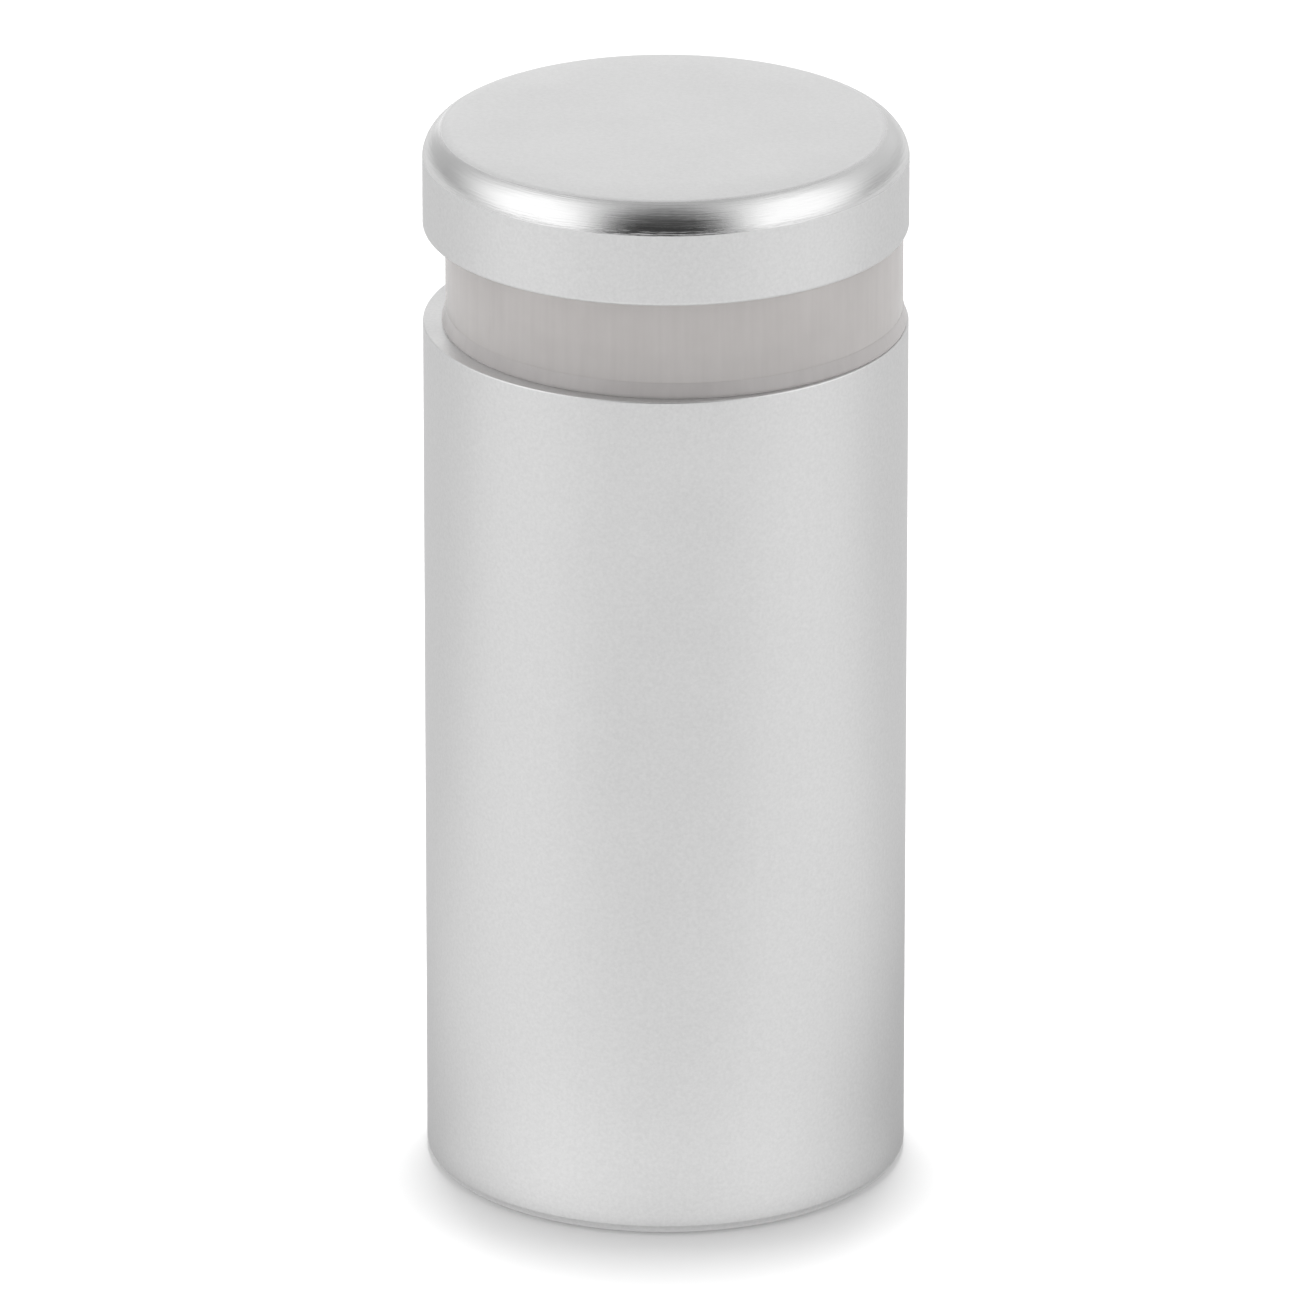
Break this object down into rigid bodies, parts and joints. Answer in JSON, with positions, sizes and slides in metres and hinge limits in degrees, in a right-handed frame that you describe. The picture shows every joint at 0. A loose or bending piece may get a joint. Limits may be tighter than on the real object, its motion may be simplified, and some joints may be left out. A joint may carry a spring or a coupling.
{
  "type": "glass panel standoff",
  "caption": "Round aluminium standoff that holds a glass panel off a wall: barrel with a wall-screw hole, soft washers and a screw-on cap with a threaded stud.",
  "frame": {"origin": "centre of the barrel's wall face, which the standoff stands on", "axes": "+Z along the barrel's axis, from the wall to the cap; the loose washers lie a little off it towards +X"},
  "size_m": [0.019, 0.019, 0.0429],
  "materials": {
    "anodised_aluminium": "bead-blasted satin, clear anodised, with a bright turned radius on the cap",
    "milky_silicone": "translucent, smooth moulded",
    "clear_silicone": "translucent, smooth punched",
    "zinc_plated_steel": "bright zinc plated"
  },
  "bodies": {
    "barrel": {"barrel": "anodised_aluminium", "lower_washer": "clear_silicone"},
    "upper_washer": {"upper_washer": "milky_silicone"},
    "cap": {"cap": "anodised_aluminium", "stud": "zinc_plated_steel"}
  },
  "joints": [
    {"name": "cap_travel", "type": "slide", "parent": "barrel", "child": "upper_washer", "axis": [0, 0, 1], "range_m": [0, 0.01]},
    {"name": "cap_turn", "type": "hinge", "parent": "upper_washer", "child": "cap", "pos_m": [0, 0, 0.0389], "axis": [0, 0, 1], "range_deg": [0, 2880]}
  ],
  "couplings": [
    {"joint": "cap_travel", "follows": "cap_turn", "m_per_rad": 0.00019894}
  ]
}
